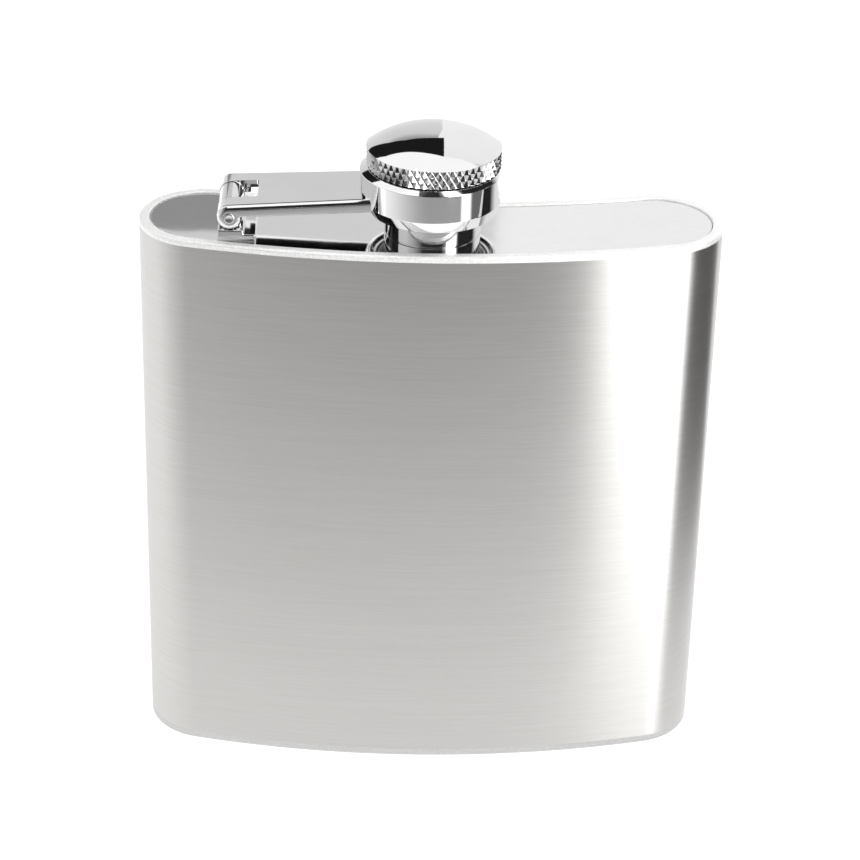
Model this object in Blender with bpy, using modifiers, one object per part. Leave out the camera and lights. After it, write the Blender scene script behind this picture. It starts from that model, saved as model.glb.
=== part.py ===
"""Curved pocket flask with a captive screw cap on a hinged arm.

Metres, +Z up, origin under the middle of the flat bottom.  +X runs along the
width from the hinge side to the free side, and the convex face looks to -Y.
Lengths below are in millimetres and are scaled by MM when they are used.
"""

import math

import bmesh
import bpy
from mathutils import Vector

MM = 0.001

# ---- driving dimensions (mm) -------------------------------------------------

# Body: a kidney-shaped tube, convex in front and concave behind.
BODY_WIDTH = 95.0
BODY_HEIGHT = 95.8
BODY_DEPTH = 21.8
FRONT_RADIUS = 162.5
BACK_RADIUS = 158.6
WALL = 0.7
FRONT_STEPS = 26
END_STEPS = 16
BACK_STEPS = 26

# Weld rims that close the tube to its two end plates.
RIM_WIDTH = 1.7
RIM_HEIGHT = 1.0
RIM_ROUND = 0.8
FOOT_RIM_WIDTH = 2.0
FOOT_RIM_HEIGHT = 1.6
FOOT_RIM_ROUND = 1.4
PLATE_THICKNESS = 0.9
PLATE_RECESS = 0.25
GAP = 0.3

# Neck, on the vertical axis that the cap shares.
NECK_Y = 0.6
NECK_RADIUS = 7.77
NECK_CORE = 7.15
NECK_BORE = 6.3
NECK_SPIGOT = 7.0
NECK_BASE_TOP = 3.7
NECK_TOP = 9.5
THREAD_PITCH = 2.6
THREAD_TURNS = 1.5
THREAD_ROUND = 0.38

# Collar: the ring at the end of the arm that the cap turns in.
COLLAR_RADIUS = 11.43
COLLAR_SHIFT = -0.4
COLLAR_FOOT_RADIUS = 10.4
COLLAR_LIP_RADIUS = 10.7
COLLAR_BOTTOM = 3.66
COLLAR_LOW_EDGE = 5.75
COLLAR_HIGH_EDGE = 10.36
COLLAR_TOP = 10.98
COLLAR_BORE = 9.68
COLLAR_RELIEF = 9.95
COLLAR_LEDGE = 6.4

# Cap crown: domed, knurled and hollow, with a skirt that runs down the collar.
CROWN_RADIUS = 10.85
CROWN_BOTTOM = 11.26
KNURL_TOP = 14.3
DOME_RISE = 2.85
CROWN_WALL = 1.1
SKIRT_RADIUS = 9.45
SKIRT_INNER = 9.05
SKIRT_BOTTOM = 4.1
GROOVE_RADIUS = 9.24

# Threaded liner, sealing disc and the spring ring that keeps the cap captive.
LINER_RADIUS = 8.82
LINER_ROOT = 8.5
LINER_THREAD_ROUND = 0.24
LINER_BOTTOM = 4.4
LINER_TOP = 12.5
LINER_ROOF = 11.5
SEAL_RADIUS = 8.3
SEAL_BOTTOM = 9.8
SEAL_THICKNESS = 1.4
RETAINER_INNER = 9.3
RETAINER_OUTER = 9.85
RETAINER_Z = 5.85
RETAINER_THICKNESS = 0.45

# Hinge: a pin across the flask, its post on the top plate, and the arm.
PIN_X = -32.35
PIN_Z = 4.15
PIN_RADIUS = 0.9
PIN_LENGTH = 14.3
PIN_CLEARANCE = 0.06
EAR_RADIUS = 2.05
POST_LEFT = -33.9
POST_RIGHT = -30.2
POST_FOOT_RIGHT = -28.2
POST_FOOT_THICKNESS = 1.0
POST_BLOCK_TOP = 1.75
POST_WIDTH = 12.4
KNUCKLE_WIDTH = 6.1
KNUCKLE_RADIUS = 1.95
ARM_HINGE_WIDTH = 14.1
ARM_COLLAR_WIDTH = 12.5
ARM_TOP_AT_HINGE = 6.2
ARM_TOP_AT_COLLAR = 7.4
ARM_LOW_AT_HINGE = 4.45
ARM_LOW_AT_COLLAR = 5.15
ARM_COLLAR_X = -9.0
ARM_SHEET = 1.0
ARM_WINDOW_WIDTH = 6.5
ARM_WINDOW_END = -28.0
ARM_CHANNEL_START = -29.3

TURN_STEPS = 40


# ---- scene and materials -----------------------------------------------------

for old in list(bpy.data.objects):
    bpy.data.objects.remove(old, do_unlink=True)

flask = bpy.data.collections.new("hip_flask")
bpy.context.scene.collection.children.link(flask)
cutters = bpy.data.collections.new("hip_flask_cutters")
bpy.context.scene.collection.children.link(cutters)


def metal(name, colour, roughness, metallic=1.0):
    """Principled material for one piece."""
    mat = bpy.data.materials.new(name)
    mat.use_nodes = True
    shader = mat.node_tree.nodes["Principled BSDF"]
    shader.inputs["Base Color"].default_value = (*colour, 1.0)
    shader.inputs["Roughness"].default_value = roughness
    shader.inputs["Metallic"].default_value = metallic
    mat.diffuse_color = (*colour, 1.0)
    return mat


def place(obj, material=None, parent=None):
    """Put an object among the flask's pieces, or among the cutters if it has no material."""
    if material is None:
        cutters.objects.link(obj)
        obj.hide_render = True
        obj.display_type = "WIRE"
    else:
        flask.objects.link(obj)
        obj.data.materials.clear()
        obj.data.materials.append(material)
    if parent is not None:
        obj.parent = parent
        obj.matrix_parent_inverse = parent.matrix_world.inverted()
    return obj


# ---- the kidney-shaped section ------------------------------------------------

def end_circle():
    """Centre and radius of the end arc: inside the front arc and outside the back arc."""
    half = BODY_WIDTH / 2
    front_y = FRONT_RADIUS - BODY_DEPTH / 2
    back_y = BACK_RADIUS + BODY_DEPTH / 2
    low, high = 4.0, BODY_DEPTH
    for _ in range(60):
        radius = (low + high) / 2
        x = half - radius
        y_front = front_y - math.sqrt((FRONT_RADIUS - radius) ** 2 - x * x)
        y_back = back_y - math.sqrt((BACK_RADIUS + radius) ** 2 - x * x)
        if y_front < y_back:
            low = radius
        else:
            high = radius
    return x, y_front, radius


END_X, END_Y, END_RADIUS = end_circle()
MID_Y = (END_Y + END_RADIUS - BODY_DEPTH / 2) / 2


def arc(cx, cy, radius, start, stop, steps):
    """Points on an arc, without its last point; angles in radians from +X."""
    points = []
    for i in range(steps):
        a = start + (stop - start) * i / steps
        points.append((cx + radius * math.cos(a), cy + radius * math.sin(a)))
    return points


def section(inset):
    """Closed outline of the body, moved in by inset all round."""
    front_y = FRONT_RADIUS - BODY_DEPTH / 2
    back_y = BACK_RADIUS + BODY_DEPTH / 2
    front_half = math.atan2(END_X, front_y - END_Y)
    back_half = math.atan2(END_X, back_y - END_Y)
    down = -math.pi / 2
    end = END_RADIUS - inset
    points = arc(0, front_y, FRONT_RADIUS - inset, down - front_half, down + front_half, FRONT_STEPS)
    points += arc(END_X, END_Y, end, down + front_half, math.pi / 2 + back_half, END_STEPS)
    points += arc(0, back_y, BACK_RADIUS + inset, down + back_half, down - back_half, BACK_STEPS)
    points += arc(-END_X, END_Y, end, math.pi / 2 - back_half, 1.5 * math.pi - front_half, END_STEPS)
    return [(x, y - MID_Y) for x, y in points]


def circle(cx, cy, radius, steps):
    """Closed round outline."""
    return arc(cx, cy, radius, 0, 2 * math.pi, steps)


# ---- modelling helpers -------------------------------------------------------

AXIS_Y = NECK_Y - MID_Y


def outline(name, loops, thickness, centre, upright=False):
    """Flat outline with its holes, filled and given a thickness.

    Lying down, the outline is in the XY plane; upright, it is in the XZ plane.
    """
    data = bpy.data.curves.new(name, "CURVE")
    data.dimensions = "2D"
    data.fill_mode = "BOTH"
    data.extrude = thickness / 2 * MM
    for loop in loops:
        spline = data.splines.new("POLY")
        spline.points.add(len(loop) - 1)
        spline.use_cyclic_u = True
        for point, (u, v) in zip(spline.points, loop):
            point.co = (u * MM, v * MM, 0, 1)
    obj = bpy.data.objects.new(name, data)
    obj.location = Vector(centre) * MM
    if upright:
        obj.rotation_euler = (math.pi / 2, 0, 0)
    return obj


def as_mesh(source):
    """Make a curve object into a mesh with its caps joined on."""
    bpy.context.scene.collection.objects.link(source)
    bpy.context.view_layer.update()
    evaluated = source.evaluated_get(bpy.context.evaluated_depsgraph_get())
    mesh = bpy.data.meshes.new_from_object(evaluated)
    bm = bmesh.new()
    bm.from_mesh(mesh)
    bmesh.ops.remove_doubles(bm, verts=bm.verts, dist=1e-6)
    bmesh.ops.recalc_face_normals(bm, faces=bm.faces)
    bm.to_mesh(mesh)
    bm.free()
    name = source.name
    matrix = source.matrix_world.copy()
    bpy.data.objects.remove(source, do_unlink=True)
    mesh.name = name
    obj = bpy.data.objects.new(name, mesh)
    obj.matrix_world = matrix
    return obj


def turned(name, profile, steps=TURN_STEPS, x=0.0, y=AXIS_Y):
    """Turn an (radius, height) profile about an upright axis.

    The profile runs down the outer side; heights are above the top rim.
    """
    mesh = bpy.data.meshes.new(name)
    verts = [(r * MM, 0, (BODY_HEIGHT + z) * MM) for r, z in profile]
    closed = profile[0][0] > 0 and profile[-1][0] > 0
    edges = [(i, i + 1) for i in range(len(verts) - 1)]
    if closed:
        edges.append((len(verts) - 1, 0))
    mesh.from_pydata(verts, edges, [])
    obj = bpy.data.objects.new(name, mesh)
    obj.location = (x * MM, y * MM, 0)
    screw = obj.modifiers.new("turn", "SCREW")
    screw.steps = steps
    screw.render_steps = steps
    screw.use_merge_vertices = True
    screw.merge_threshold = 1e-5
    screw.use_smooth_shade = True
    return obj


def lathe(name, profile, steps=TURN_STEPS, x=0.0, y=AXIS_Y):
    """Turned piece with the Screw applied, for pieces that are cut or joined."""
    obj = turned(name, profile, steps, x, y)
    return as_mesh(obj)


def cylinder(name, radius, length, centre, direction, steps=32):
    """Solid cylinder along an axis."""
    mesh = bpy.data.meshes.new(name)
    bm = bmesh.new()
    bmesh.ops.create_cone(
        bm,
        cap_ends=True,
        segments=steps,
        radius1=radius * MM,
        radius2=radius * MM,
        depth=length * MM,
    )
    bm.to_mesh(mesh)
    bm.free()
    obj = bpy.data.objects.new(name, mesh)
    obj.location = Vector(centre) * MM
    obj.rotation_euler = Vector(direction).to_track_quat("Z", "Y").to_euler()
    return obj


def loft(name, rings, steps):
    """Skin through circles of differing centre and radius, closed back on the first.

    Each ring is (centre x, radius, height); all are centred on the neck's Y.
    """
    mesh = bpy.data.meshes.new(name)
    bm = bmesh.new()
    loops = []
    for x, radius, z in rings:
        points = circle(x, AXIS_Y, radius, steps)
        loops.append([bm.verts.new((px * MM, py * MM, (BODY_HEIGHT + z) * MM)) for px, py in points])
    for i, lower in enumerate(loops):
        upper = loops[(i + 1) % len(loops)]
        for k in range(steps):
            n = (k + 1) % steps
            bm.faces.new((lower[k], lower[n], upper[n], upper[k]))
    bmesh.ops.recalc_face_normals(bm, faces=bm.faces)
    bm.to_mesh(mesh)
    bm.free()
    return bpy.data.objects.new(name, mesh)


def helix(name, radius, start, turns, pitch, round_radius, sink):
    """Round thread ridge that sinks into its wall at both ends."""
    per_turn = 28
    count = int(per_turn * turns) + 1
    data = bpy.data.curves.new(name, "CURVE")
    data.dimensions = "3D"
    data.bevel_depth = round_radius * MM
    data.bevel_resolution = 1
    data.use_fill_caps = True
    spline = data.splines.new("POLY")
    spline.points.add(count - 1)
    for i, point in enumerate(spline.points):
        a = 2 * math.pi * i / per_turn
        fade = max(0.0, 1 - min(i, count - 1 - i) / 5)
        r = radius + sink * fade
        z = BODY_HEIGHT + start + pitch * i / per_turn
        point.co = (r * math.cos(a) * MM, r * math.sin(a) * MM, z * MM, 1)
        point.radius = 1 - 0.7 * fade
    obj = bpy.data.objects.new(name, data)
    obj.location = (0, AXIS_Y * MM, 0)
    return as_mesh(obj)


def combine(obj, other, operation):
    """Boolean modifier against a cutter."""
    mod = obj.modifiers.new(other.name, "BOOLEAN")
    mod.operation = operation
    mod.solver = "EXACT"
    mod.object = other


def round_edges(obj, width, segments, weight_of):
    """Bevel the sharp edges that weight_of gives a weight, from their end points in millimetres."""
    bm = bmesh.new()
    bm.from_mesh(obj.data)
    layer = bm.edges.layers.float.new("bevel_weight_edge")
    for edge in bm.edges:
        if edge.calc_face_angle(0.0) > math.radians(30):
            a, b = (obj.matrix_world @ v.co / MM for v in edge.verts)
            edge[layer] = weight_of(a, b)
    bm.to_mesh(obj.data)
    bm.free()
    bevel = obj.modifiers.new("round", "BEVEL")
    bevel.limit_method = "WEIGHT"
    bevel.width = width * MM
    bevel.segments = segments


def bevel_sharp(obj, width, segments=2, degrees=40):
    """Small bevel on every sharp edge."""
    bevel = obj.modifiers.new("edges", "BEVEL")
    bevel.limit_method = "ANGLE"
    bevel.angle_limit = math.radians(degrees)
    bevel.width = width * MM
    bevel.segments = segments


# ---- moving frames -----------------------------------------------------------

hinge_axis = bpy.data.objects.new("hinge_axis", None)
hinge_axis.location = (PIN_X * MM, AXIS_Y * MM, (BODY_HEIGHT + PIN_Z) * MM)
flask.objects.link(hinge_axis)

cap_axis = bpy.data.objects.new("cap_axis", None)
cap_axis.location = (0, AXIS_Y * MM, (BODY_HEIGHT + COLLAR_TOP) * MM)
flask.objects.link(cap_axis)
bpy.context.view_layer.update()
cap_axis.parent = hinge_axis
cap_axis.matrix_parent_inverse = hinge_axis.matrix_world.inverted()
bpy.context.view_layer.update()


# ---- body --------------------------------------------------------------------

# The wall is one drawn sheet: a tube between the two weld rims.
shell_low = FOOT_RIM_HEIGHT + GAP
shell_high = BODY_HEIGHT - RIM_HEIGHT - GAP
body_shell = outline(
    "body_shell",
    [section(0), section(WALL)],
    shell_high - shell_low,
    (0, 0, (shell_high + shell_low) / 2),
)
place(body_shell, metal("brushed_wall", (0.60, 0.60, 0.59), 0.34))


def rim(name, width, height, rounding, z_outer, z_inner, material):
    """Weld bead ground to a rounded rim; its outer edge lies at z_outer."""
    low, high = sorted((z_outer, z_inner))
    obj = as_mesh(outline(name, [section(0), section(width)], height, (0, 0, (low + high) / 2)))
    place(obj, material)
    bpy.context.view_layer.update()
    outer = section(0)

    def weight(a, b):
        if abs(a.z - z_outer) > 0.01 or abs(b.z - z_outer) > 0.01:
            return 0.0
        near = min((a.x - x) ** 2 + (a.y - y) ** 2 for x, y in outer)
        return 1.0 if near < 0.01 else 0.5

    round_edges(obj, rounding, 2, weight)
    return obj


rim(
    "top_rim_weld",
    RIM_WIDTH,
    RIM_HEIGHT,
    RIM_ROUND,
    BODY_HEIGHT,
    BODY_HEIGHT - RIM_HEIGHT,
    metal("blasted_rim", (0.78, 0.78, 0.76), 0.5),
)
rim(
    "bottom_rim_weld",
    FOOT_RIM_WIDTH,
    FOOT_RIM_HEIGHT,
    FOOT_RIM_ROUND,
    0.0,
    FOOT_RIM_HEIGHT,
    metal("ground_foot_rim", (0.66, 0.66, 0.65), 0.4),
)

# Both end plates stand a gap inside their rims.  The upper one is pierced for the neck.
plate_top = BODY_HEIGHT - PLATE_RECESS
top_plate = outline(
    "top_plate",
    [section(RIM_WIDTH + GAP), circle(0, AXIS_Y, NECK_SPIGOT + GAP, 40)],
    PLATE_THICKNESS,
    (0, 0, plate_top - PLATE_THICKNESS / 2),
)
place(top_plate, metal("mirror_plate", (0.72, 0.72, 0.71), 0.05))
bottom_plate = outline(
    "bottom_plate",
    [section(FOOT_RIM_WIDTH + GAP)],
    PLATE_THICKNESS,
    (0, 0, PLATE_THICKNESS / 2),
)
place(bottom_plate, metal("satin_base", (0.62, 0.62, 0.61), 0.3))


# ---- neck --------------------------------------------------------------------

# The spigot below the shoulder goes through the plate; the thread starts above the base.
neck_low = -PLATE_RECESS - PLATE_THICKNESS - 0.7
shoulder = -PLATE_RECESS + GAP
neck_profile = [
    (NECK_BORE + 0.3, NECK_TOP),
    (NECK_CORE - 0.3, NECK_TOP),
    (NECK_CORE, NECK_TOP - 0.3),
    (NECK_CORE, NECK_BASE_TOP + 0.5),
    (NECK_RADIUS - 0.1, NECK_BASE_TOP),
    (NECK_RADIUS, NECK_BASE_TOP - 0.1),
    (NECK_RADIUS, shoulder),
    (NECK_SPIGOT, shoulder),
    (NECK_SPIGOT, neck_low),
    (NECK_BORE, neck_low),
    (NECK_BORE, NECK_TOP - 0.3),
]
neck_spout = lathe("neck_spout", neck_profile)
neck_thread = helix(
    "neck_thread",
    NECK_RADIUS - 0.02 - THREAD_ROUND,
    NECK_BASE_TOP + 1.0,
    THREAD_TURNS,
    THREAD_PITCH,
    THREAD_ROUND,
    -0.45,
)
place(neck_thread)
combine(neck_spout, neck_thread, "UNION")
place(neck_spout, metal("polished_neck", (0.74, 0.74, 0.73), 0.06))


# ---- hinge post and pin ------------------------------------------------------

post_low = plate_top + GAP - BODY_HEIGHT


def at_height(points):
    """Lift (x, height above rim) points to the body's own height."""
    return [(x, z + BODY_HEIGHT) for x, z in points]


base_outline = at_height([
    (POST_LEFT, post_low),
    (POST_FOOT_RIGHT, post_low),
    (POST_FOOT_RIGHT, post_low + POST_FOOT_THICKNESS),
    (POST_RIGHT, post_low + POST_FOOT_THICKNESS),
    (POST_RIGHT, POST_BLOCK_TOP),
    (POST_LEFT, POST_BLOCK_TOP),
])
hinge_post = as_mesh(outline("hinge_post", [base_outline], POST_WIDTH, (0, AXIS_Y, 0), True))

knuckle_outline = at_height(
    [(PIN_X + KNUCKLE_RADIUS * 0.8, post_low + 0.4), (PIN_X + KNUCKLE_RADIUS, PIN_Z)]
    + [(x, z) for x, z in arc(PIN_X, PIN_Z, KNUCKLE_RADIUS, 0, math.pi, 14)][1:]
    + [(PIN_X - KNUCKLE_RADIUS, PIN_Z), (POST_LEFT + 0.2, post_low + 0.4)]
)
knuckle = as_mesh(outline("knuckle", [knuckle_outline], KNUCKLE_WIDTH, (0, AXIS_Y, 0), True))
place(knuckle)
combine(hinge_post, knuckle, "UNION")
post_bore = cylinder(
    "post_bore",
    PIN_RADIUS + PIN_CLEARANCE,
    20,
    (PIN_X, AXIS_Y, BODY_HEIGHT + PIN_Z),
    (0, 1, 0),
)
place(post_bore)
combine(hinge_post, post_bore, "DIFFERENCE")
place(hinge_post, metal("polished_post", (0.70, 0.70, 0.69), 0.1))

hinge_pin = cylinder(
    "hinge_pin",
    PIN_RADIUS,
    PIN_LENGTH,
    (PIN_X, AXIS_Y, BODY_HEIGHT + PIN_Z),
    (0, 1, 0),
)
bevel_sharp(hinge_pin, 0.2)
place(hinge_pin, metal("steel_pin", (0.66, 0.66, 0.65), 0.18), hinge_axis)


# ---- arm ---------------------------------------------------------------------

def along(x, at_hinge, at_collar):
    """Value at x on a straight line between the hinge and the collar."""
    t = (x - PIN_X) / (ARM_COLLAR_X - PIN_X)
    return at_hinge + (at_collar - at_hinge) * t


# Side outline: a straight bar whose hinge end wraps round the pin.
ear = arc(PIN_X, PIN_Z, EAR_RADIUS, math.radians(93), math.radians(368), 22)
arm_side = at_height(
    [(ARM_COLLAR_X, ARM_LOW_AT_COLLAR), (ARM_COLLAR_X, ARM_TOP_AT_COLLAR)]
    + ear
    + [(PIN_X + EAR_RADIUS, PIN_Z + 0.3)]
)
hinge_arm = as_mesh(
    outline("hinge_arm", [arm_side], ARM_HINGE_WIDTH, (0, AXIS_Y, 0), True)
)

# Window that straddles the knuckle, open at the hinge end.
window_length = ARM_WINDOW_END - (PIN_X - 6)
window = outline(
    "arm_window",
    [[
        (PIN_X - 6, AXIS_Y - ARM_WINDOW_WIDTH / 2),
        (ARM_WINDOW_END, AXIS_Y - ARM_WINDOW_WIDTH / 2),
        (ARM_WINDOW_END, AXIS_Y + ARM_WINDOW_WIDTH / 2),
        (PIN_X - 6, AXIS_Y + ARM_WINDOW_WIDTH / 2),
    ]],
    12,
    (0, 0, BODY_HEIGHT + PIN_Z),
)
window = as_mesh(window)
place(window)
combine(hinge_arm, window, "DIFFERENCE")


def side_taper(name, sign):
    """Wedge that narrows one side of the arm towards the collar."""
    wide = AXIS_Y + sign * ARM_HINGE_WIDTH / 2
    narrow = AXIS_Y + sign * ARM_COLLAR_WIDTH / 2
    far = AXIS_Y + sign * (ARM_HINGE_WIDTH / 2 + 4)
    start = PIN_X + 2.2
    corners = [(start, wide), (ARM_COLLAR_X + 2, narrow), (ARM_COLLAR_X + 2, far), (start, far)]
    wedge = as_mesh(outline(name, [corners], 12, (0, 0, BODY_HEIGHT + PIN_Z + 2)))
    return place(wedge)


combine(hinge_arm, side_taper("taper_front", -1), "DIFFERENCE")
combine(hinge_arm, side_taper("taper_back", 1), "DIFFERENCE")

# Channel under the sheet, between the two side flanges.
channel_side = at_height([
    (ARM_CHANNEL_START, PIN_Z - 4),
    (ARM_COLLAR_X + 3, PIN_Z - 4),
    (ARM_COLLAR_X + 3, along(ARM_COLLAR_X + 3, ARM_TOP_AT_HINGE, ARM_TOP_AT_COLLAR) - ARM_SHEET),
    (ARM_CHANNEL_START, along(ARM_CHANNEL_START, ARM_TOP_AT_HINGE, ARM_TOP_AT_COLLAR) - ARM_SHEET),
])
channel = as_mesh(
    outline(
        "arm_channel",
        [channel_side],
        ARM_COLLAR_WIDTH - 2 * ARM_SHEET,
        (0, AXIS_Y, 0),
        True,
    )
)
place(channel)
combine(hinge_arm, channel, "DIFFERENCE")

# The far end is cut to the collar's curve, and the ears are drilled for the pin.
collar_cut = cylinder(
    "collar_cut",
    COLLAR_RADIUS + GAP,
    30,
    (COLLAR_SHIFT, AXIS_Y, BODY_HEIGHT + PIN_Z),
    (0, 0, 1),
    64,
)
place(collar_cut)
combine(hinge_arm, collar_cut, "DIFFERENCE")
ear_bore = cylinder(
    "ear_bore",
    PIN_RADIUS + PIN_CLEARANCE / 2,
    20,
    (PIN_X, AXIS_Y, BODY_HEIGHT + PIN_Z),
    (0, 1, 0),
)
place(ear_bore)
combine(hinge_arm, ear_bore, "DIFFERENCE")
place(hinge_arm, metal("polished_arm", (0.75, 0.75, 0.75), 0.07), hinge_axis)


# ---- collar ------------------------------------------------------------------

# The outside is set towards the arm, where the ring is thicker; the bore is on the cap's axis.
cap_collar = loft(
    "cap_collar",
    [
        (0, COLLAR_FOOT_RADIUS, COLLAR_BOTTOM),
        (COLLAR_SHIFT, COLLAR_RADIUS, COLLAR_LOW_EDGE),
        (COLLAR_SHIFT, COLLAR_RADIUS, COLLAR_HIGH_EDGE),
        (0, COLLAR_LIP_RADIUS, COLLAR_TOP),
        (0, COLLAR_BORE, COLLAR_TOP),
        (0, COLLAR_BORE, COLLAR_LEDGE),
        (0, COLLAR_RELIEF, COLLAR_LEDGE),
        (0, COLLAR_RELIEF, COLLAR_BOTTOM),
    ],
    48,
)
place(cap_collar, metal("polished_collar", (0.74, 0.74, 0.74), 0.05), hinge_axis)


# ---- cap ---------------------------------------------------------------------

def dome(radius, base, rise, steps):
    """Upper profile of a shallow dome, from its middle out to its edge."""
    points = []
    for i in range(steps + 1):
        t = math.sin(math.pi / 2 * i / steps)
        points.append((radius * t, base + rise * (1 - t * t)))
    return points


crown_profile = dome(CROWN_RADIUS, KNURL_TOP, DOME_RISE, 6)
crown_profile += [
    (CROWN_RADIUS, CROWN_BOTTOM),
    (SKIRT_RADIUS, CROWN_BOTTOM),
    (SKIRT_RADIUS, RETAINER_Z + RETAINER_THICKNESS / 2 + 0.1),
    (GROOVE_RADIUS, RETAINER_Z + RETAINER_THICKNESS / 2 + 0.1),
    (GROOVE_RADIUS, RETAINER_Z - RETAINER_THICKNESS / 2 - 0.1),
    (SKIRT_RADIUS, RETAINER_Z - RETAINER_THICKNESS / 2 - 0.1),
    (SKIRT_RADIUS, SKIRT_BOTTOM),
    (SKIRT_INNER, SKIRT_BOTTOM),
]
inner_dome = dome(SKIRT_INNER, KNURL_TOP - CROWN_WALL, DOME_RISE, 5)
crown_profile += inner_dome[::-1]
cap_crown = turned("cap_crown", crown_profile)
place(cap_crown, metal("knurled_crown", (0.73, 0.73, 0.73), 0.06), cap_axis)

liner_profile = [
    (LINER_RADIUS, LINER_TOP),
    (LINER_RADIUS, LINER_BOTTOM),
    (LINER_ROOT, LINER_BOTTOM),
    (LINER_ROOT, LINER_ROOF),
    (0, LINER_ROOF),
]
cap_liner = lathe("cap_liner", [(0, LINER_TOP)] + liner_profile)
liner_thread = helix(
    "liner_thread",
    LINER_ROOT + 0.01,
    LINER_BOTTOM + 0.9,
    THREAD_TURNS,
    THREAD_PITCH,
    LINER_THREAD_ROUND,
    0.1,
)
place(liner_thread)
combine(cap_liner, liner_thread, "UNION")
place(cap_liner, metal("moulded_liner", (0.82, 0.82, 0.80), 0.45, 0.0), cap_axis)

cap_seal = turned(
    "cap_seal",
    [
        (0, SEAL_BOTTOM + SEAL_THICKNESS),
        (SEAL_RADIUS - 0.2, SEAL_BOTTOM + SEAL_THICKNESS),
        (SEAL_RADIUS, SEAL_BOTTOM + SEAL_THICKNESS - 0.2),
        (SEAL_RADIUS, SEAL_BOTTOM + 0.2),
        (SEAL_RADIUS - 0.2, SEAL_BOTTOM),
        (0, SEAL_BOTTOM),
    ],
    32,
)
place(cap_seal, metal("soft_seal", (0.85, 0.84, 0.80), 0.6, 0.0), cap_axis)

half_ring = RETAINER_THICKNESS / 2
cap_retainer = turned(
    "cap_retainer",
    [
        (RETAINER_OUTER, RETAINER_Z + half_ring),
        (RETAINER_OUTER, RETAINER_Z - half_ring),
        (RETAINER_INNER, RETAINER_Z - half_ring),
        (RETAINER_INNER, RETAINER_Z + half_ring),
    ],
)
place(cap_retainer, metal("spring_ring", (0.55, 0.55, 0.54), 0.3), cap_axis)
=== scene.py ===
"""Looks of a curved steel pocket flask with a captive, knurled screw cap.

Every visible piece is rebuilt finely in the place that its CAD node has.
Lengths are in millimetres, and MM scales them when a mesh is made.
+Z is up, +X runs along the flask's width, and its convex face looks to -Y.
"""

import math

import bmesh
import bpy
from mathutils import Matrix, Vector


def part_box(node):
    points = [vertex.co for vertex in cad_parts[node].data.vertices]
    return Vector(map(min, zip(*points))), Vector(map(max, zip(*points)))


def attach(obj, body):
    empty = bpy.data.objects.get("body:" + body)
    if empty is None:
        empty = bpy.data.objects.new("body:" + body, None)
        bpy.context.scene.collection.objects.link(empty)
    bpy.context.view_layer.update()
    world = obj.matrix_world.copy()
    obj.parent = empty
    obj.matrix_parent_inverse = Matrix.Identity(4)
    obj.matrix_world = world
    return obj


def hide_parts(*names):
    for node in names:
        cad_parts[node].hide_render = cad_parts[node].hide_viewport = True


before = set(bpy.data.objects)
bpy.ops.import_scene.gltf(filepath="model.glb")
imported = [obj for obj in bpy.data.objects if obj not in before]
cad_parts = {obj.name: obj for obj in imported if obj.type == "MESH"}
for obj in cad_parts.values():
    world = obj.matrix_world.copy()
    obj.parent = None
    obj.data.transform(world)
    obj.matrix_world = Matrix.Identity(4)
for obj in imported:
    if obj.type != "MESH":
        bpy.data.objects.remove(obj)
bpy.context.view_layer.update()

MM = 0.001
FULL_TURN = 2 * math.pi


# ---- sizes ---------------------------------------------------------------------

def box_mm(node):
    """Lowest and highest corner of a CAD node, in millimetres."""
    low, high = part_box(node)
    return low / MM, high / MM


RIM = box_mm("top_rim_weld")
FOOT = box_mm("bottom_rim_weld")
PLATE = box_mm("top_plate")
NECK = box_mm("neck_spout")
POST = box_mm("hinge_post")
PIN = box_mm("hinge_pin")
ARM = box_mm("hinge_arm")
COLLAR = box_mm("cap_collar")
CROWN = box_mm("cap_crown")
LINER = box_mm("cap_liner")
SEAL = box_mm("cap_seal")
RETAINER = box_mm("cap_retainer")

# Body section: two long arcs joined by round ends.
TOP = RIM[1].z
BODY_WIDTH = RIM[1].x - RIM[0].x
BODY_DEPTH = 21.8
FRONT_RADIUS = 162.5
BACK_RADIUS = 158.6
WALL = 0.7
RIM_WIDTH = 1.7
RIM_ROUND = 0.85
RIM_LIP = 0.28
FOOT_RIM_WIDTH = 2.0
FOOT_ROUND = 1.4
PLATE_TOP = PLATE[1].z
PLATE_EDGE = 0.12
PLATE_SEAM = 0.10
BASE_SEAM = 0.07

# Everything on the neck turns about one upright axis. Its heights, like the collar's and
# the cap's, count from the rim's top.
AXIS_Y = (NECK[0].y + NECK[1].y) / 2
NECK_RADIUS = 7.77
NECK_CORE = 7.15
NECK_BORE = 6.3
NECK_BASE_TOP = 3.7
THREAD_PITCH = 2.6
THREAD_TURNS = 1.5

# Collar, with its outside set a little towards the arm.
COLLAR_RADIUS = 11.43
COLLAR_SHIFT = -0.4
COLLAR_FOOT_RADIUS = 10.4
COLLAR_LIP_RADIUS = 10.7
COLLAR_LOW_EDGE = 5.75
COLLAR_HIGH_EDGE = 10.36
COLLAR_BORE = 9.68
COLLAR_RELIEF = 9.95
COLLAR_LEDGE = 6.4

# Crown of the cap and its knurl.
CROWN_RADIUS = (CROWN[1].x - CROWN[0].x) / 2
CROWN_BOTTOM = 11.26
KNURL_TOP = 14.3
DOME_RISE = CROWN[1].z - TOP - KNURL_TOP
DOME_FULLNESS = 2.5
CROWN_WALL = 1.1
SKIRT_RADIUS = 9.45
SKIRT_INNER = 9.05
GROOVE_RADIUS = 9.24
KNURL_DIAMONDS = 56
KNURL_ROWS = 3
KNURL_DEPTH = 0.42

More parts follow.
